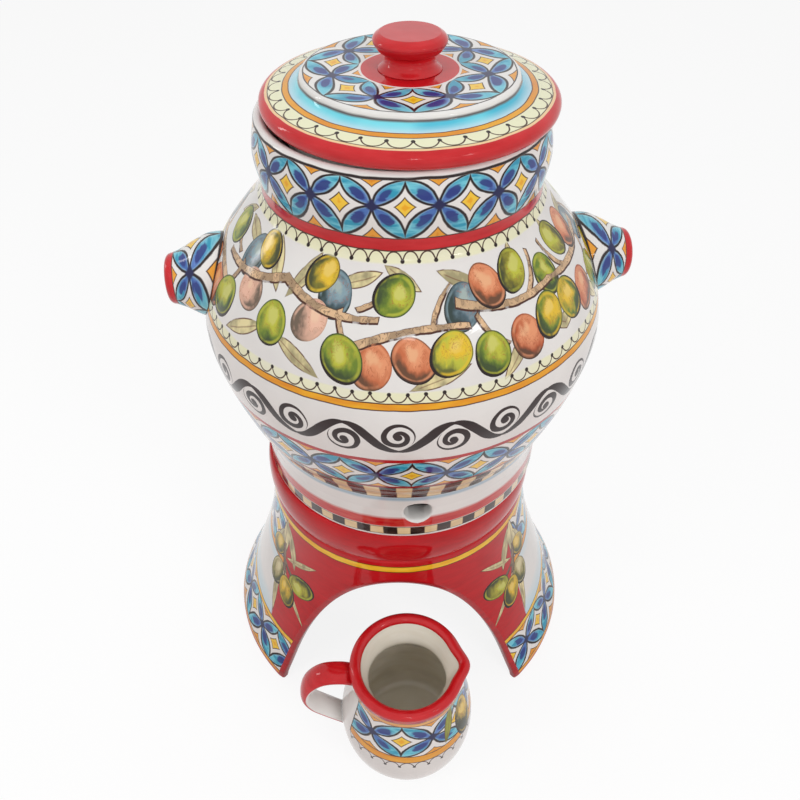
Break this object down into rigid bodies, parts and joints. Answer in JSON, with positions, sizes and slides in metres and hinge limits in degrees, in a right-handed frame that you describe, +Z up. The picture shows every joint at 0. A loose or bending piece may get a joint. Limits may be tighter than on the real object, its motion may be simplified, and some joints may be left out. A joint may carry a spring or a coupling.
{
  "type": "oil jar",
  "caption": "Glazed lidded oil jar with side lugs and a tap hole, on an arched bell-shaped stand, with a pouring jug under the arch.",
  "frame": {"origin": "on the floor under the middle of the whole set's box, 26.9 mm in front of the axis of the stand", "axes": "+Z up; -Y is the front, where the arch, the tap hole and the jug are; +X is the viewer's right from the front"},
  "size_m": [0.3065, 0.3562, 0.5039],
  "materials": {
    "stand": "gloss glaze, hand painted",
    "jar_body": "gloss glaze, hand painted",
    "handle_left": "gloss glaze, hand painted",
    "handle_right": "gloss glaze, hand painted",
    "lid": "gloss glaze, hand painted",
    "lid_knob": "gloss glaze",
    "jug_body": "gloss glaze, hand painted",
    "jug_handle": "gloss glaze"
  },
  "bodies": {
    "stand": {"stand": "stand"},
    "jar": {"jar_body": "jar_body", "handle_left": "handle_left", "handle_right": "handle_right"},
    "lid": {"lid": "lid", "lid_knob": "lid_knob"},
    "jug": {"jug_body": "jug_body", "jug_handle": "jug_handle"}
  },
  "joints": [
    {"name": "jar_lift", "type": "slide", "parent": "stand", "child": "jar", "axis": [0, 0, 1], "range_m": [0, 0.1]},
    {"name": "lid_lift", "type": "slide", "parent": "jar", "child": "lid", "axis": [0, 0, 1], "range_m": [0, 0.12]},
    {"name": "jug_draw", "type": "slide", "parent": "stand", "child": "jug", "axis": [0, -1, 0], "range_m": [0, 0.12]}
  ]
}
